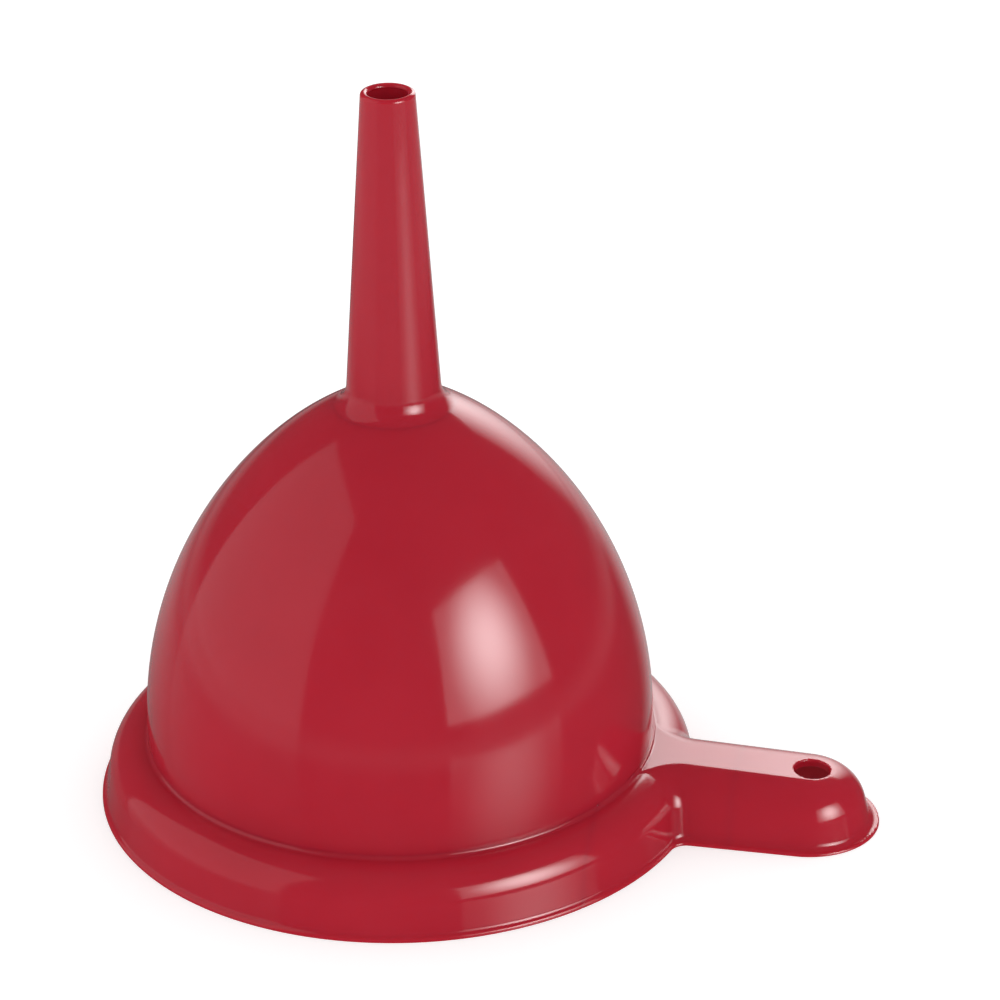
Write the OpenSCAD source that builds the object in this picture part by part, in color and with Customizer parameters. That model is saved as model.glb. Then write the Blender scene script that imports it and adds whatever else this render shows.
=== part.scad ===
// Kitchen funnel with a rolled rim and a hollow hanging handle, standing on its mouth.
// Millimetres. +Z runs up the spout, the mouth's centre at rest height is the origin,
// and the handle points along +X. The four nodes are the features of one moulding, cut
// where they run into each other, so that they meet face to face.

/* [Mouth and rim] */
// Diameter over the lip that the funnel stands on
mouth_d = 120; // [119:0.5:124]
// Height of the rim's crest above the lip
rim_h = 12.3; // [12:0.1:12.4]
// Radius of the rim's outer roll
roll_r = 7.2; // [6.8:0.1:7.4]
// Lean of the rim's outer face below the roll, in degrees
rim_draft = 11; // [9:0.5:12]
// Height of the thin lip round the foot
lip_h = 0.9; // [0.7:0.1:1.3]

/* [Bowl] */
// Outer diameter of the bowl above the rim
bowl_d = 100.4; // [99:0.1:101]
// Radius of the hollow corner between bowl and rim
root_fillet = 0.8; // [0.6:0.1:1.2]
// Radius of the bowl's side in section
side_arc = 78.9; // [78:0.1:80]
// Angle of the side arc, where the crown arc takes over
side_angle = 47.5; // [44:0.5:50]
// Radius of the bowl's crown in section
crown_arc = 67.9; // [67:0.1:69]
// Wall thickness everywhere
wall = 1.4; // [1.2:0.1:1.6]

/* [Spout] */
// Height from the lip to the spout's tip
total_h = 146.2; // [140:0.5:155]
// Outer diameter of the spout at its tip
tip_d = 10.3; // [10:0.1:12]
// Lean of the spout's side, in degrees
taper = 3.83; // [3.6:0.01:4]
// Radius of the hollow corner between spout and bowl
base_fillet = 5.2; // [3:0.1:6]

/* [Handle] */
// Distance from the axis to the centre of the handle's round end
end_x = 81.4; // [78:0.2:90]
// Width of the handle over its lip
handle_w = 29; // [28:0.5:31]
// Width of the flat along the handle's top
top_flat = 7.4; // [7:0.1:8]
// Radius of the handle's shoulders
shoulder_r = 8; // [7.5:0.1:8.2]
// Height of the handle's top where it leaves the bowl
handle_h = 12.4; // [12.4:0.1:12.8]
// Fall of the handle's top towards its end, in degrees
handle_fall = 2; // [1:0.25:2.5]
// Diameter of the hang hole
hole_d = 7; // [6:0.5:8]
// Distance from the axis to the hang hole
hole_x = 82.4; // [79:0.2:88]
// Radius of the corner in plan between handle and rim
web_r = 2.5; // [1.5:0.5:5]

/* [Hidden] */
$fn = 128;
moulding = "#a91e2e";
// Steps along an arc of a section
arc_steps = 12;
eps = 0.01;

mouth_r = mouth_d / 2;
bowl_r = bowl_d / 2;
tip_r = tip_d / 2;
foot_z = rim_h + root_fillet;
side_z = foot_z + 2.6;
side_c = [bowl_r - side_arc, side_z];
crown_c = side_c + (side_arc - crown_arc) * [cos(side_angle), sin(side_angle)];

// Centre of the hollow corner under the spout. It lies on the crown's circle grown by
// the fillet and on the spout's side line moved out by it, which is a quadratic in z.
taper_k = tan(taper);
edge_z = total_h - wall / 2;
line_r = tip_r + edge_z * taper_k + base_fillet / cos(taper) - crown_c.x;
half_b = taper_k * line_r + crown_c.y;
free_c = pow(line_r, 2) + pow(crown_c.y, 2) - pow(crown_arc + base_fillet, 2);
lead_a = 1 + pow(taper_k, 2);
base_z = (half_b + sqrt(pow(half_b, 2) - lead_a * free_c)) / lead_a;
base_c = [line_r + crown_c.x - taper_k * base_z, base_z];
crown_angle = atan2(base_c.y - crown_c.y, base_c.x - crown_c.x);

roll_c = [bowl_r + root_fillet, rim_h - roll_r];
handle_r = handle_w / 2;
half_flat = top_flat / 2;
handle_draft = 18;
lip_edge = 0.3;

// Points along an arc, from angle a0 to angle a1
function arc(centre, r, a0, a1, steps = arc_steps) =
    [for (i = [0:steps]) let (a = a0 + (a1 - a0) * i / steps) centre + r * [cos(a), sin(a)]];
function reversed(points) = [for (i = [len(points) - 1:-1:0]) points[i]];
// Section lines, each moved into the wall by d
function bowl_line(d) = concat(
    [[bowl_r - d, foot_z]],
    arc(side_c, side_arc - d, 0, side_angle, 2 * arc_steps),
    arc(crown_c, crown_arc - d, side_angle, crown_angle));
function spout_line(d) = concat(
    arc(base_c, base_fillet + d, crown_angle + 180, 180 + taper),
    [[tip_r - d, edge_z]]);
function rim_line(d) = concat(
    arc(roll_c + [0, roll_r + root_fillet], root_fillet + d, 180, 270),
    arc(roll_c, roll_r - d, 90, rim_draft));
// Where the rim's straight outer face, moved into the wall by d, reaches the height z
function rim_face(d, z) = let (p = roll_c + (roll_r - d) * [cos(rim_draft), sin(rim_draft)])
    [p.x + (p.y - z) * tan(rim_draft), z];
rim_outside = concat(rim_line(0), [rim_face(0, lip_h), [mouth_r - lip_edge, lip_h],
    [mouth_r, lip_h - lip_edge], [mouth_r, 0]]);

// Everything inside the outer surface of the rim and the bowl
module envelope() {
    rotate_extrude()
        polygon(concat([[0, -eps], [mouth_r, -eps]], reversed(rim_outside),
            bowl_line(0), [[0, base_z]]));
}

module bowl() {
    color(moulding) rotate_extrude()
        polygon(concat(bowl_line(0), reversed(bowl_line(wall))));
}

module spout() {
    color(moulding) rotate_extrude() {
        polygon(concat(spout_line(0), reversed(spout_line(wall))));
        translate([tip_r - wall / 2, edge_z]) circle(d = wall, $fn = 48);
    }
}

module rim() {
    color(moulding) rotate_extrude()
        polygon(concat(rim_outside, [rim_face(wall, 0)], reversed(rim_line(wall))));
}

// Half of the handle's section from its middle to its side, moved into the wall by d.
// It runs below the ground, and the handle is cut off level there.
module half_arch(d) {
    shoulder = [half_flat, handle_h - shoulder_r];
    side = shoulder + (shoulder_r - d) * [cos(handle_draft), sin(handle_draft)];
    below = 3;
    polygon(concat([[0, handle_h - d]], arc(shoulder, shoulder_r - d, 90, handle_draft),
        [[side.x + (side.y + below) * tan(handle_draft), -below], [0, -below]]));
}

// Solid arch along +X with a round end, falling gently from where it leaves the bowl
module arch(d) {
    translate([bowl_r, 0, 0]) rotate([0, handle_fall, 0]) translate([-bowl_r, 0, 0]) {
        for (side = [0, 1]) mirror([0, side, 0])
            translate([end_x, 0, 0]) rotate([90, 0, -90])
                linear_extrude(end_x - bowl_r + 8) half_arch(d);
        translate([end_x, 0, 0]) rotate([0, 0, -90]) rotate_extrude(angle = 180) half_arch(d);
    }
}

// Outline of the handle's foot, with hollow corners where it meets the round lip
module foot_outline() {
    corner_x = sqrt(pow(mouth_r + web_r, 2) - pow(handle_r + web_r, 2));
    touch = mouth_r / (mouth_r + web_r) * [corner_x, handle_r + web_r];
    translate([0, -handle_r]) square([end_x, handle_w]);
    translate([end_x, 0]) circle(r = handle_r);
    difference() {
        translate([mouth_r / 2, -touch.y]) square([corner_x - mouth_r / 2, 2 * touch.y]);
        for (side = [-1, 1]) translate([corner_x, side * (handle_r + web_r)]) circle(r = web_r);
    }
}

module handle() {
    hole_z = handle_h - (hole_x - bowl_r) * sin(handle_fall);
    color(moulding) difference() {
        union() {
            arch(0);
            linear_extrude(lip_h) foot_outline();
        }
        arch(wall);
        translate([0, 0, -handle_w]) cube([4 * mouth_d, mouth_d, 2 * handle_w], center = true);
        translate([hole_x, 0, hole_z - wall / 2]) cylinder(d = hole_d, h = 4 * wall, center = true);
        envelope();
    }
}

bowl();
spout();
rim();
handle();
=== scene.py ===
"""A red kitchen funnel standing on its mouth, built over its CAD frame.

+Z runs up the spout, +X along the handle, and the origin is the middle of the mouth.
"""

import math

import bpy
import numpy as np
from mathutils import Matrix, Vector


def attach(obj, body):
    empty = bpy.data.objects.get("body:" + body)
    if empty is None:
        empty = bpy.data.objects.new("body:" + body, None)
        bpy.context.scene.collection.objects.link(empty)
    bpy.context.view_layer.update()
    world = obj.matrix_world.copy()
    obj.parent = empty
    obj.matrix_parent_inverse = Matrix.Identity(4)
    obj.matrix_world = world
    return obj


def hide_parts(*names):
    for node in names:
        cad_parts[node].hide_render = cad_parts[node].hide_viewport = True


MM = 0.001

# Driving sizes in millimetres: the CAD model's, but with a slightly smaller and thinner lip
WALL = 1.4
MOUTH_R = 59.75
RIM_TOP = 12.3
ROLL_R = 7.2
RIM_DRAFT = math.radians(11)
LIP_H = 0.6
LIP_EDGE = 0.3
BOWL_R = 50.2
ROOT_FILLET = 0.8
SIDE_ARC = 78.9
SIDE_ANGLE = math.radians(47.5)
SIDE_FOOT = 2.6  # height of the upright stretch under the side's arc
CROWN_ARC = 67.9
TOP_Z = 146.2
TIP_R = 5.15
TAPER = math.radians(3.83)
BASE_FILLET = 5.2
END_X = 81.4
HANDLE_R = 14.5
HALF_FLAT = 3.7
SHOULDER_R = 8.0
HANDLE_TOP = 12.4
HANDLE_FALL = math.radians(2)
HANDLE_DRAFT = math.radians(18)
HOLE_R = 3.5
HOLE_X = 82.4
WEB_R = 2.5

# Softer shapes that the CAD model leaves out
LIP_FILLET = 1.0  # of the hollow above the lip
BLEND_R = 3.5  # of the hollow between handle and rim
ROOT_BLEND_R = 2.5  # of the hollow between handle and bowl
BLEND_CHANGE = 1.8  # from the bowl outwards, the blend's radius goes from one to the other in this
HOLE_EDGE = 0.3  # rounding of the hang hole's edge
CHANNEL_EDGE = 1.0  # rounding of the handle's hollow along the rim
FAN_START = 58.5  # the handle's flat top widens from this x towards the bowl
FAN_R = 7.2  # radius at which its sides turn outwards
FLARE_TOP = 6.0  # below this height the rim's outside is taken from the blended shape

# Sizes that follow from them
FOOT_Z = RIM_TOP + ROOT_FILLET
SIDE_C = np.array([BOWL_R - SIDE_ARC, FOOT_Z + SIDE_FOOT])
CROWN_C = SIDE_C + (SIDE_ARC - CROWN_ARC) * np.array([math.cos(SIDE_ANGLE), math.sin(SIDE_ANGLE)])
ROLL_C = np.array([BOWL_R + ROOT_FILLET, RIM_TOP - ROLL_R])
EDGE_Z = TOP_Z - WALL / 2

# How the visual surface is divided
TURNS = 360  # steps round the axis
CELL = 0.4  # grid of the blended handle, in millimetres
RIM_CUT = 44.0  # the blended part starts at this x
HANDLE_CUT = 68.0  # and the rim's share of it ends at this x

# The view
CAMERA_LENS = 133.19
CAMERA_PLACE = (0.1483, -0.6226, 0.3825)
CAMERA_HEADING = 11.60  # degrees to the left of +Y
CAMERA_TILT = 63.41  # degrees up from straight down
CAMERA_ROLL = -0.393
VIEW_BEARING = 90 + CAMERA_HEADING  # degrees from +X

# The plastic's colour where it is deepest and lightest
DEEP_RED = (0.425, 0.0148, 0.0305, 1)
LIGHT_RED = (0.455, 0.0168, 0.0340, 1)


# ---------------------------------------------------------------- sections


def unit(angle):
    return np.array([math.cos(angle), math.sin(angle)])


def base_centre():
    """Centre of the hollow corner under the spout, which touches the crown and the spout's side."""
    k = math.tan(TAPER)
    a = TIP_R + EDGE_Z * k + BASE_FILLET / math.cos(TAPER) - CROWN_C[0]
    b = k * a + CROWN_C[1]
    c = a**2 + CROWN_C[1] ** 2 - (CROWN_ARC + BASE_FILLET) ** 2
    z = (b + math.sqrt(b**2 - (1 + k**2) * c)) / (1 + k**2)
    return np.array([a + CROWN_C[0] - k * z, z])


BASE_C = base_centre()
CROWN_ANGLE = math.atan2(BASE_C[1] - CROWN_C[1], BASE_C[0] - CROWN_C[0])


def arc(centre, radius, start, end, steps, hollow=False):
    """Points and outward normals along an arc of a section. A hollow arc's normals point inwards."""
    turns = [unit(a) for a in np.linspace(start, end, steps + 1)]
    return [(centre + radius * t, -t if hollow else t) for t in turns]


def bowl_line(depth):
    """The bowl's outside from its foot up to the spout, moved into the wall by depth."""
    side = arc(SIDE_C, SIDE_ARC - depth, 0, SIDE_ANGLE, 60)
    crown = arc(CROWN_C, CROWN_ARC - depth, SIDE_ANGLE, CROWN_ANGLE, 40)
    foot = (np.array([BOWL_R - depth, FOOT_Z]), np.array([1.0, 0.0]))
    return [foot] + side + crown[1:]


def spout_line(depth):
    """The spout's outside from the bowl up to its edge, moved into the wall by depth."""
    fillet = arc(BASE_C, BASE_FILLET + depth, CROWN_ANGLE + math.pi, math.pi + TAPER, 24, hollow=True)
    low = fillet[-1][0]
    top = np.array([TIP_R - depth, EDGE_Z])
    return fillet + [(low + t * (top - low), unit(TAPER)) for t in np.linspace(0, 1, 60)[1:]]


def rim_line(depth):
    """The rim's outside from the bowl down to the end of its roll, moved into the wall by depth."""
    root_c = ROLL_C + [0, ROLL_R + ROOT_FILLET]
    root = arc(root_c, ROOT_FILLET + depth, math.pi, 1.5 * math.pi, 20, hollow=True)
    roll = arc(ROLL_C, ROLL_R - depth, math.pi / 2, RIM_DRAFT, 40)
    return root + roll


def rim_face(depth, z):
    """Where the rim's outer face, moved into the wall by depth, is at the height z."""
    start = ROLL_C + (ROLL_R - depth) * unit(RIM_DRAFT)
    return np.array([start[0] + (start[1] - z) * math.tan(RIM_DRAFT), z])


def inside(line):
    """The same points walked back, with the normals of the wall's other face."""
    return [(p, -n) for p, n in reversed(line)]


def flat(*points):
    """Straight stretches through the points, each with its own pair of ends, so that edges stay sharp."""
    out = []
    for a, b in zip(points, points[1:]):
        a, b = np.array(a, float), np.array(b, float)
        d = (b - a) / np.linalg.norm(b - a)
        out += [(a, np.array([-d[1], d[0]])), (b, np.array([-d[1], d[0]]))]
    return out


# ---------------------------------------------------------------- meshes


def placed(name, data):
    """A new object in the scene."""
    obj = bpy.data.objects.new(name, data)
    bpy.context.scene.collection.objects.link(obj)
    return obj


def make_mesh(name, points, faces, normals):
    """A mesh in the row frame from millimetre points, with one exact normal per face corner."""
    mesh = bpy.data.meshes.new(name)
    mesh.from_pydata((np.asarray(points) * MM).tolist(), [], faces)
    mesh.polygons.foreach_set("use_smooth", np.ones(len(faces), dtype=bool))
    mesh.normals_split_custom_set(np.asarray(normals).tolist())
    return placed(name, mesh)


def revolve(section):
    """Turns a closed section round the axis. The result is points, faces and corner normals.

    section holds (point, normal) pairs in order round the wall. Two pairs at one place make a sharp edge.
    """
    return sweep(section, np.zeros(len(section)))


def sweep(section, start):
    """The same, with each ring running from its start angle to the mirrored one. A gap gets end faces."""
    spot = np.array([p for p, n in section])
    lean = np.array([n for p, n in section])
    angle = start[:, None] + (2 * math.pi - 2 * start)[:, None] * np.linspace(0, 1, TURNS + 1)
    turn = np.stack([np.cos(angle), np.sin(angle)], axis=-1)
    height = np.broadcast_to(spot[:, 1, None, None], angle.shape + (1,))
    points = np.concatenate([spot[:, 0, None, None] * turn, height], axis=-1)
    rise = np.broadcast_to(lean[:, 1, None, None], angle.shape + (1,))
    normal = np.concatenate([lean[:, 0, None, None] * turn, rise], axis=-1)

    apart = np.linalg.norm(np.roll(spot, -1, axis=0) - spot, axis=1) > 1e-6
    ring = np.concatenate([[0], np.cumsum(apart[:-1])])
    keep = np.concatenate([[True], apart[:-1]])
    if not apart[-1]:
        ring[ring == ring[-1]] = 0
        keep[-1] = False
    points = points[keep]
    index = np.arange(points.shape[0] * (TURNS + 1)).reshape(-1, TURNS + 1)
    closed = not start.any()
    if closed:
        index[:, -1] = index[:, 0]
    faces, corners = [], []
    for i in np.flatnonzero(apart):
        j = (i + 1) % len(section)
        a, b = index[ring[i]], index[ring[j]]
        faces += np.stack([a[:-1], a[1:], b[1:], b[:-1]], axis=1).tolist()
        around = [normal[i, :-1], normal[i, 1:], normal[j, 1:], normal[j, :-1]]
        corners.append(np.stack(around, axis=1))
    corners = [np.concatenate(corners).reshape(-1, 3)]
    if not closed:
        faces += [index[:, 0].tolist(), index[::-1, -1].tolist()]
        corners.append(np.tile([1.0, 0.0, 0.0], (2 * len(index), 1)))
    return points.reshape(-1, 3), faces, np.concatenate(corners)


def gradient(field, p):
    """Unit gradient of the field at the points p."""
    step = 0.01
    ends = [(field(p + step * e) - field(p - step * e)) for e in np.eye(3)]
    g = np.stack(ends, axis=-1)
    return g / np.maximum(np.linalg.norm(g, axis=-1, keepdims=True), 1e-12)


def crossings(field, low, high, low_value):
    """Where the field is zero between pairs of points, by halving."""
    below = low_value < 0
    for _ in range(12):
        middle = (low + high) / 2
        same = (field(middle) < 0) == below
        low = np.where(same[:, None], middle, low)
        high = np.where(same[:, None], high, middle)
    return (low + high) / 2


def contour(shape, low, high):
    """Dual contour of a shape between two planes of x: one point per grid cell that its surface passes.

    low and high are the corners of the box. Its x sides cut the shape off, and its other sides only
    bound the search. The result is points, faces and corner normals, as revolve() gives them.
    """
    layers = round((high[0] - low[0]) / CELL)
    step = np.array([(high[0] - low[0]) / layers, CELL, CELL])
    counts = [layers + 2] + [math.ceil((high[k] - low[k]) / CELL) + 1 for k in (1, 2)]
    origin = np.array([low[0] - step[0] / 2, low[1], low[2]])
    grid = origin + step * np.stack(np.meshgrid(*[np.arange(n) for n in counts], indexing="ij"), axis=-1)

    def field(p):
        past_cuts = np.abs(p[..., 0] - (low[0] + high[0]) / 2) - (high[0] - low[0]) / 2
        return np.maximum(shape(p), past_cuts)

    value = field(grid)
    spots, leans, quads = [], [], []
    for axis in range(3):
        first = np.take(value, np.arange(counts[axis] - 1), axis=axis)
        second = np.take(value, np.arange(1, counts[axis]), axis=axis)
        at = np.argwhere((first < 0) != (second < 0))
        below = first[tuple(at.T)]
        start = grid[tuple(at.T)]
        spots.append(crossings(field, start, start + step * np.eye(3)[axis], below))
        leans.append(gradient(field, spots[-1]))
        across, up = np.eye(3, dtype=int)[[(axis + 1) % 3, (axis + 2) % 3]]
        around = [at, at - across, at - across - up, at - up]
        quad = np.stack([np.ravel_multi_index(tuple(c.T), counts) for c in around], axis=1)
        quads.append(np.where(below[:, None] < 0, quad, quad[:, ::-1]))
    spot = np.repeat(np.concatenate(spots), 4, axis=0)
    lean = np.repeat(np.concatenate(leans), 4, axis=0)
    cells, owner = np.unique(np.concatenate(quads).ravel(), return_inverse=True)
    owner = owner.ravel()
    faces = owner.reshape(-1, 4)
    points = corner_points(spot, lean, owner, len(cells))
    for _ in range(2):
        points -= field(points)[:, None] * gradient(field, points)
    for cut in (low[0], high[0]):
        points = settle_on_plane(shape, points, cut)
    points[:, 2] = np.maximum(points[:, 2], 0)  # nothing sinks into the table

    corner = points[faces]
    near = corner + 0.25 * (corner.mean(axis=1, keepdims=True) - corner)
    at_point = gradient(shape, points)[faces]
    beside = gradient(field, near)
    sharp = np.einsum("ijk,ijk->ij", at_point, beside) < math.cos(math.radians(12))
    normals = np.where(sharp[:, :, None], beside, at_point)
    return points, faces.tolist(), normals.reshape(-1, 3)


def corner_points(spot, lean, owner, count):
    """For each cell, the point nearest to all the planes through its crossings.

    It lies on an edge where there is one.
    """

    def total(values):
        return np.stack([np.bincount(owner, v, count) for v in values.reshape(len(values), -1).T], axis=1)

    members = np.bincount(owner, minlength=count)[:, None]
    mean = total(spot) / members
    push = np.einsum("ij,ij->i", lean, spot - mean[owner])
    matrix = total(lean[:, :, None] * lean[:, None, :]).reshape(-1, 3, 3)
    matrix += 0.005 * members[:, :, None] * np.eye(3)
    move = np.linalg.solve(matrix, total(lean * push[:, None])[:, :, None])[:, :, 0]
    size = np.linalg.norm(move, axis=1, keepdims=True)
    return mean + move * np.minimum(1, CELL / np.maximum(size, 1e-9))


def settle_on_plane(shape, points, x):
    """Puts the points of the cells at a cut exactly on it, and those on its outline on the shape too."""
    points = points.copy()
    layer = np.flatnonzero(np.abs(points[:, 0] - x) < 0.49 * CELL)
    points[layer, 0] = x
    edge = layer[np.abs(shape(points[layer])) < 0.3 * CELL]
    for _ in range(3):
        g = gradient(shape, points[edge])
        g[:, 0] = 0
        reach = shape(points[edge]) / np.maximum((g**2).sum(axis=1), 0.1)
        points[edge] -= reach[:, None] * g
    return points


def joined(*parts):
    """Several (points, faces, normals) as one."""
    points, faces, normals, used = [], [], [], 0
    for p, f, n in parts:
        points.append(p)
        faces += [[used + i for i in face] for face in f]
        normals.append(n)
        used += len(p)
    return np.concatenate(points), faces, np.concatenate(normals)


# ---------------------------------------------------------------- the handle's blended shape


def round_union(a, b, radius):
    """Union of two shapes with its inner corner filled by a hollow."""
    near = np.hypot(np.maximum(radius - a, 0), np.maximum(radius - b, 0))
    return np.maximum(radius, np.minimum(a, b)) - near


def round_cut(a, b, radius):
    """Intersection of two shapes with its edge rounded."""
    return -round_union(-a, -b, radius)


def section_of_rim(r, z):
    """Distance from the outer surface of rim and bowl, and its normal, in the plane of r and z."""
    dr, dz = r - ROLL_C[0], z - ROLL_C[1]
    from_roll = np.hypot(dr, dz)
    rise = ROLL_R + ROOT_FILLET - dz
    from_root = np.hypot(dr, rise)
    root = dr < 0
    face = (np.arctan2(dz, dr) < RIM_DRAFT) & ~root
    face_n = unit(RIM_DRAFT)
    from_face = dr * face_n[0] + dz * face_n[1] - ROLL_R
    distance = np.select([root, face], [ROOT_FILLET - from_root, from_face], from_roll - ROLL_R)
    lean_r = np.select(
        [root, face], [-dr / np.maximum(from_root, 1e-9), face_n[0]], dr / np.maximum(from_roll, 1e-9))
    lean_z = np.select(
        [root, face], [rise / np.maximum(from_root, 1e-9), face_n[1]], dz / np.maximum(from_roll, 1e-9))
    return distance, lean_r, lean_z


def arch(x, y, z):
    """Distance from the handle's arch, without its lip, and its normal."""
    fall_c, fall_s = math.cos(HANDLE_FALL), math.sin(HANDLE_FALL)
    along = fall_c * (x - BOWL_R) - fall_s * z + BOWL_R - END_X
    up = fall_s * (x - BOWL_R) + fall_c * z
    beyond = np.maximum(along, 0)
    out = np.hypot(beyond, y)
    fan = np.clip(FAN_START - x, 0, FAN_START - BOWL_R) ** 2 / (2 * FAN_R)
    dq = out - HALF_FLAT - fan
    dw = up - (HANDLE_TOP - SHOULDER_R)
    from_shoulder = np.hypot(dq, dw)
    draft = unit(HANDLE_DRAFT)
    side = dq * draft[0] + dw * draft[1] - SHOULDER_R
    is_side = np.arctan2(dw, dq) < HANDLE_DRAFT
    is_top = (dq < 0) & (dw > 0)
    distance = np.select(
        [is_top, is_side | (dq < 0)], [up - HANDLE_TOP, side], from_shoulder - SHOULDER_R)
    lean_q = np.select([is_top, is_side], [0.0, draft[0]], dq / np.maximum(from_shoulder, 1e-9))
    lean_w = np.select([is_top, is_side], [1.0, draft[1]], dw / np.maximum(from_shoulder, 1e-9))
    lean_u = lean_q * beyond / np.maximum(out, 1e-9)
    lean_y = lean_q * y / np.maximum(out, 1e-9)
    return distance, fall_c * lean_u + fall_s * lean_w, lean_y, fall_c * lean_w - fall_s * lean_u


def handle_and_rim(p):
    """Distance from the moulding's lower part: the rim, the handle and the blend between them."""
    x, y, z = p[..., 0], p[..., 1], p[..., 2]
    r = np.hypot(x, y)
    rim, rim_r, rim_z = section_of_rim(r, z)
    handle, handle_x, handle_y, handle_z = arch(x, y, z)
    facing = rim_r * (x * handle_x + y * handle_y) / r + rim_z * handle_z
    outwards = np.clip((r - BOWL_R) / BLEND_CHANGE, 0, 1)
    radius = ROOT_BLEND_R + (BLEND_R - ROOT_BLEND_R) * outwards**2 * (3 - 2 * outwards)
    skin = round_union(rim, handle, radius * np.clip(1 - facing, 0, 1))
    stadium = np.hypot(np.maximum(x - END_X, 0), y) - HANDLE_R
    lip = round_cut(round_union(r - MOUTH_R, stadium, WEB_R), z - LIP_H, LIP_EDGE)
    outside = round_union(skin, lip, LIP_FILLET)
    outside = round_cut(outside, HOLE_R - np.hypot(x - HOLE_X, y), HOLE_EDGE)
    channel = round_cut(handle + WALL, -rim, CHANNEL_EDGE)
    return np.maximum.reduce([outside, -rim - WALL, -channel, -z, z - FOOT_Z])


def between(low, high):
    """The lower part from one x to another, as points, faces and normals."""
    margin = 2 * CELL
    half = max(math.sqrt(MOUTH_R**2 - min(low, MOUTH_R) ** 2), HANDLE_R + WEB_R) + margin
    return contour(handle_and_rim, (low, -half, -margin), (high, half, FOOT_Z + margin))


# ---------------------------------------------------------------- pieces


def end_face(line, top):
    """The flat face across the wall at a line's top or foot, as pairs for a section."""
    if top:
        return flat(line(0)[-1][0], line(WALL)[-1][0])
    return flat(line(WALL)[0][0], line(0)[0][0])


def bowl():
    """The domed wall, open below and at the spout."""
    outside = bowl_line(0) + end_face(bowl_line, True)
    section = outside + inside(bowl_line(WALL)) + end_face(bowl_line, False)
    return make_mesh("bowl", *revolve(section))


def spout():
    """The tapered tube, with the hollow corner at its base and a round edge at its tip."""
    edge = arc(np.array([TIP_R - WALL / 2, EDGE_Z]), WALL / 2, TAPER, math.pi + TAPER, 24)
    section = spout_line(0) + edge + inside(spout_line(WALL)) + end_face(spout_line, False)
    return make_mesh("spout", *revolve(section))


def flare(top, steps):
    """The rim's outside from the height top down to the lip's foot, as the blended shape has it.

    It is searched for along +y, where the handle is far away.
    """
    height = np.linspace(top, 0, steps + 1)
    inner = np.array([rim_face(WALL / 2, z)[0] for z in height])
    above = height + 0.02  # clear of the table, where the shape is cut off
    low = np.stack([0 * height, inner, above], axis=-1)
    high = np.stack([0 * height, 0 * height + MOUTH_R + 1, above], axis=-1)
    spot = crossings(handle_and_rim, low, high, handle_and_rim(low))
    lean = gradient(handle_and_rim, spot)
    return [(np.array([p[1], z]), n[1:]) for p, n, z in zip(spot, lean, height)]


def rim():
    """The ring, with a gap towards the handle that the blended part fills."""
    foot = flat((MOUTH_R, 0), rim_face(WALL, 0))
    back = inside(rim_line(WALL) + [(rim_face(WALL, 0), unit(RIM_DRAFT))])
    top = flat((BOWL_R - WALL, FOOT_Z), (BOWL_R, FOOT_Z))
    section = (rim_line(0) + flare(FLARE_TOP, 48) + foot + back + top)[::-1]
    start = np.array([math.acos(RIM_CUT / p[0]) for p, n in section])
    return make_mesh("rim", *joined(sweep(section, start), between(RIM_CUT, HANDLE_CUT)))


def handle():
    """The hollow arch with a round end, from where the rim's share of the blend ends."""
    return make_mesh("handle", *between(HANDLE_CUT, END_X + HANDLE_R + CELL))


# ---------------------------------------------------------------- materials


def feed(tree, socket, value):
    """Links a socket to the output given as value, or sets it."""
    if isinstance(value, bpy.types.NodeSocket):
        tree.links.new(value, socket)
    else:
        socket.default_value = value


def linked(tree, kind, values=None, **inputs):
    """A new node with its inputs set or linked by name, and its own properties from values."""
    node = tree.nodes.new(kind)
    for key, value in (values or {}).items():
        setattr(node, key, value)
    for key, value in inputs.items():
        feed(tree, node.inputs[key.replace("_", " ")], value)
    return node


def combined(tree, kind, operation, *operands):
    """A node of arithmetic, with its operands set or linked in order."""
    node = linked(tree, kind, {"operation": operation})
    for socket, value in zip(node.inputs, operands):
        feed(tree, socket, value)
    return node


def mixed(tree, share, first, second):
    """Two shaders mixed, by the share of the second."""
    node = linked(tree, "ShaderNodeMixShader", Fac=share)
    tree.links.new(first, node.inputs[1])
    tree.links.new(second, node.inputs[2])
    return node.outputs["Shader"]


def ring_fade(tree, place, middle, reach, inner, outer, start=0.0):
    """A value that goes smoothly from inner at the point middle to outer on an ellipse round it.

    reach holds the ellipse's half sizes. The value stays at inner up to the share start of the way.
    """
    off = combined(tree, "ShaderNodeVectorMath", "SUBTRACT", place, (*middle, 0))
    scaled = combined(tree, "ShaderNodeVectorMath", "DIVIDE", off.outputs["Vector"], (*reach, 1))
    away = combined(tree, "ShaderNodeVectorMath", "LENGTH", scaled.outputs["Vector"])
    fade = linked(tree, "ShaderNodeMapRange", {"interpolation_type": "SMOOTHSTEP"},
                  Value=away.outputs["Value"], From_Min=start, To_Min=inner, To_Max=outer)
    return fade.outputs["Result"]


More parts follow.
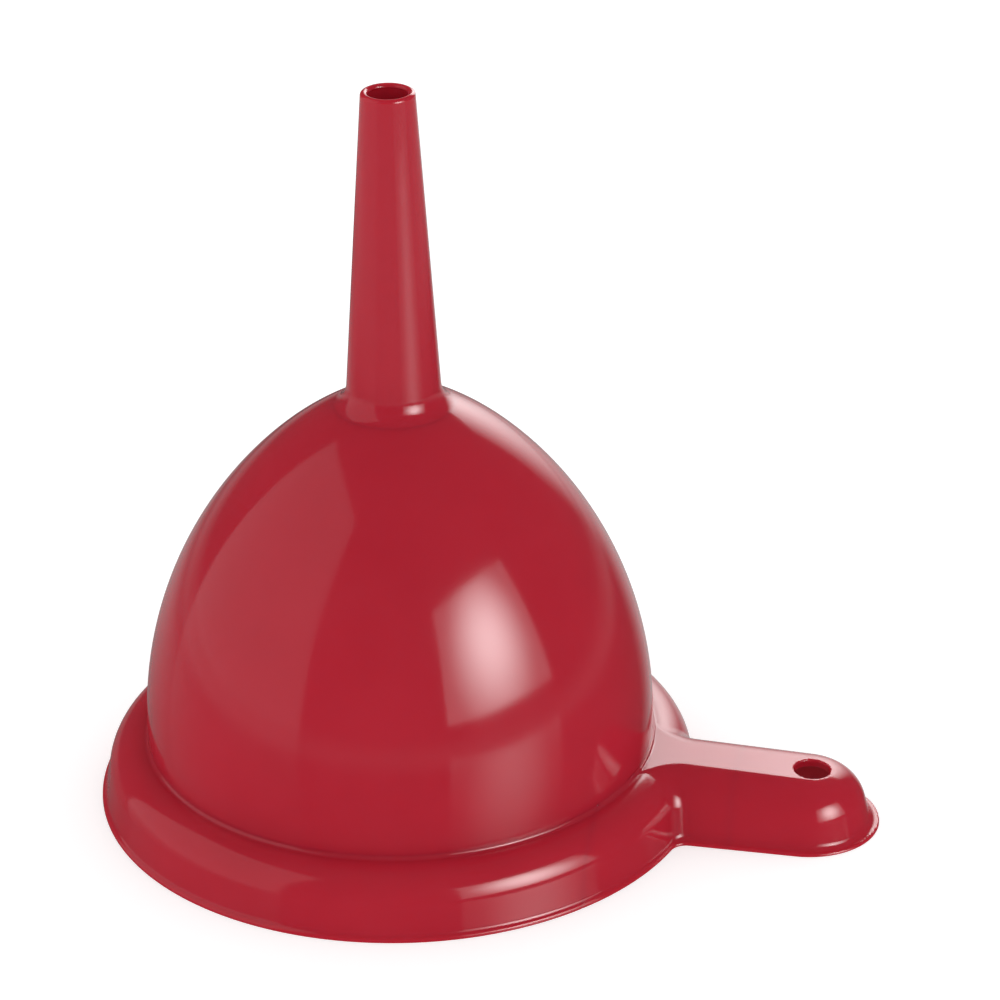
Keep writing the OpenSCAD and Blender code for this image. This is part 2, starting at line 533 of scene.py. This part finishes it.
def moulding():
    """Glossy red plastic: uneven pigment, a skin with faint flow waves, and light that soaks in."""
    material = bpy.data.materials.new("moulding")
    material.use_nodes = True
    tree = material.node_tree
    shader = tree.nodes["Principled BSDF"]
    place = tree.nodes.new("ShaderNodeTexCoord").outputs["Object"]

    pigment = linked(tree, "ShaderNodeTexNoise", Vector=place, Scale=38.0, Detail=3.0, Roughness=0.6)
    tint = linked(tree, "ShaderNodeValToRGB", Fac=pigment.outputs["Fac"])
    for stop, position, colour in zip(tint.color_ramp.elements, (0.3, 0.7), (DEEP_RED, LIGHT_RED)):
        stop.position = position
        stop.color = colour
    tree.links.new(tint.outputs["Color"], shader.inputs["Base Color"])

    handled = linked(tree, "ShaderNodeTexNoise", Vector=place, Scale=70.0, Detail=4.0, Roughness=0.55)
    sheen = linked(tree, "ShaderNodeMapRange", Value=handled.outputs["Fac"],
                   From_Min=0.3, From_Max=0.7, To_Min=0.08, To_Max=0.13)
    tree.links.new(sheen.outputs["Result"], shader.inputs["Roughness"])

    grain = linked(tree, "ShaderNodeTexNoise", Vector=place, Scale=1400.0, Detail=2.0)
    flow = linked(tree, "ShaderNodeTexNoise", Vector=place, Scale=45.0, Detail=1.0)
    waves = linked(tree, "ShaderNodeBump", Height=flow.outputs["Fac"], Strength=0.25, Distance=0.0004)
    skin = linked(tree, "ShaderNodeBump", Height=grain.outputs["Fac"], Normal=waves.outputs["Normal"],
                  Strength=0.12, Distance=0.00002)
    tree.links.new(skin.outputs["Normal"], shader.inputs["Normal"])

    shader.inputs["Subsurface Weight"].default_value = 0.35
    shader.inputs["Subsurface Radius"].default_value = (1.0, 0.1, 0.1)
    shader.inputs["Subsurface Scale"].default_value = 0.004
    return material


def table():
    """Pale and matt, but the plastic mirrors it dimmer.

    Its mirror image is a painted reflection, an emission seen only by glossy rays. It holds painted shade
    round the funnel and a painted light patch behind the funnel's left, and shows the soft lights in a
    gloss.
    """
    material = bpy.data.materials.new("floor")
    material.use_nodes = True
    tree = material.node_tree
    pale = tree.nodes["Principled BSDF"]
    pale.inputs["Base Color"].default_value = (0.95, 0.95, 0.95, 1)
    pale.inputs["Roughness"].default_value = 0.9
    pale.inputs["Emission Color"].default_value = (1, 1, 1, 1)
    pale.inputs["Emission Strength"].default_value = 0.3
    place = tree.nodes.new("ShaderNodeTexCoord").outputs["Object"]
    # painted shade: the table's mirror image is dimmed round the funnel in place of its shadow
    painted_shade = ring_fade(tree, place, (-0.012, 0.059), (0.38, 0.42), 0.07, 0.5, 0.55)
    # painted light patch behind the funnel's left, seen only in reflections
    painted_light_patch = ring_fade(tree, place, (-0.144, 0.103), (0.2, 0.2), 0.4, 0.0)
    level = combined(tree, "ShaderNodeMath", "ADD", painted_shade, painted_light_patch)
    # painted reflection: an emission that glossy rays see in place of the table
    painted_reflection = linked(tree, "ShaderNodeEmission", Strength=level.outputs["Value"])
    gloss = linked(tree, "ShaderNodeBsdfGlossy", Roughness=0.1)
    fresnel = linked(tree, "ShaderNodeFresnel", IOR=1.5)
    mirrored = mixed(tree, fresnel.outputs["Fac"], painted_reflection.outputs["Emission"], gloss.outputs["BSDF"])
    path = tree.nodes.new("ShaderNodeLightPath")
    seen = mixed(tree, path.outputs["Is Glossy Ray"], pale.outputs["BSDF"], mirrored)
    tree.links.new(seen, tree.nodes["Material Output"].inputs["Surface"])
    return material


# ---------------------------------------------------------------- floor, light and camera


def floor():
    """A wide level table under the funnel."""
    side = 3.0
    mesh = bpy.data.meshes.new("floor")
    corners = [(-side, -side, 0), (side, -side, 0), (side, side, 0), (-side, side, 0)]
    mesh.from_pydata(corners, [], [(0, 1, 2, 3)])
    mesh.materials.append(table())
    placed("floor", mesh)


def panel(name, bearing, distance, width, low, high, radiance, turn=0):
    """A soft light standing upright. bearing is in degrees to the left of straight behind the funnel.

    It faces the funnel, or is turned away from that by turn degrees to the left.
    """
    data = bpy.data.lights.new(name, "AREA")
    data.shape = "RECTANGLE"
    data.size = width
    data.size_y = high - low
    data.energy = radiance * math.pi * width * (high - low)
    obj = placed(name, data)
    away = math.radians(VIEW_BEARING + bearing)
    place = Vector((distance * math.cos(away), distance * math.sin(away), (low + high) / 2))
    facing = away + math.radians(turn)
    inwards = Vector((-math.cos(facing), -math.sin(facing), 0))
    upright = inwards.to_track_quat("-Z", "Y").to_matrix().to_4x4()
    obj.matrix_world = Matrix.Translation(place) @ upright
    obj.visible_diffuse = False
    return data


def hot_middle(data, middle, reach, rest):
    """Makes a light brightest at the place middle of its face, falling smoothly to rest of that.

    middle and reach are shares of the face's width and height, counted from its lower corner.
    """
    data.use_nodes = True
    tree = data.node_tree
    face = tree.nodes.new("ShaderNodeNewGeometry").outputs["Parametric"]
    level = ring_fade(tree, face, middle, reach, 1.0, rest)
    tree.links.new(level, tree.nodes["Emission"].inputs["Strength"])


def surroundings():
    """An even pale room. It lights the funnel all round, and the plastic mirrors it dark."""
    world = bpy.data.worlds.new("studio")
    world.use_nodes = True
    tree = world.node_tree
    path = tree.nodes.new("ShaderNodeLightPath")
    level = linked(tree, "ShaderNodeMapRange",
                   Value=path.outputs["Is Glossy Ray"], To_Min=0.9, To_Max=0.07)
    room = tree.nodes["Background"]
    room.inputs["Color"].default_value = (1, 1, 1, 1)
    tree.links.new(level.outputs["Result"], room.inputs["Strength"])
    world.cycles.sampling_method = "NONE"
    bpy.context.scene.world = world


def studio():
    """A light wall behind the funnel, a wide soft box to its left and a bright one to its right."""
    hot_middle(panel("backdrop", -20, 0.75, 0.62, 0.0, 0.56, 6.5), (0.5, 1.0), (0.62, 1.35), 0.0)
    panel("left_box", 91.4, 0.95, 1.54, 0.0, 1.66, 0.5, 18.6)
    hot_middle(panel("right_box", -132, 0.9, 0.88, 0.085, 0.74, 12.5), (0.5, 0.48), (0.48, 0.75), 0.12)
    surroundings()


def camera():
    """Looks down at the funnel from in front, a little from the handle's side."""
    data = bpy.data.cameras.new("camera")
    data.sensor_width = 36
    data.lens = CAMERA_LENS
    obj = placed("camera", data)
    turn = (Matrix.Rotation(math.radians(CAMERA_HEADING), 4, "Z")
            @ Matrix.Rotation(math.radians(CAMERA_TILT), 4, "X")
            @ Matrix.Rotation(math.radians(CAMERA_ROLL), 4, "Z"))
    obj.matrix_world = Matrix.Translation(CAMERA_PLACE) @ turn
    bpy.context.scene.camera = obj


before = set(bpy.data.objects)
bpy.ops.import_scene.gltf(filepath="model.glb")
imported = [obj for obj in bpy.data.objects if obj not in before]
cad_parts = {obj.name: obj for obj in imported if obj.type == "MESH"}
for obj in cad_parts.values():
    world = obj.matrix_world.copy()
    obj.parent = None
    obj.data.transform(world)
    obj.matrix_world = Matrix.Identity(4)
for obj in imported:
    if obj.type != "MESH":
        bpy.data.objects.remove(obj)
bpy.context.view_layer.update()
red = moulding()
for build in (bowl, spout, rim, handle):
    piece = build()
    piece.data.materials.append(red)
    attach(piece, "root")
    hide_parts(build.__name__)
floor()
studio()
camera()
bpy.context.scene.view_settings.view_transform = "Standard"
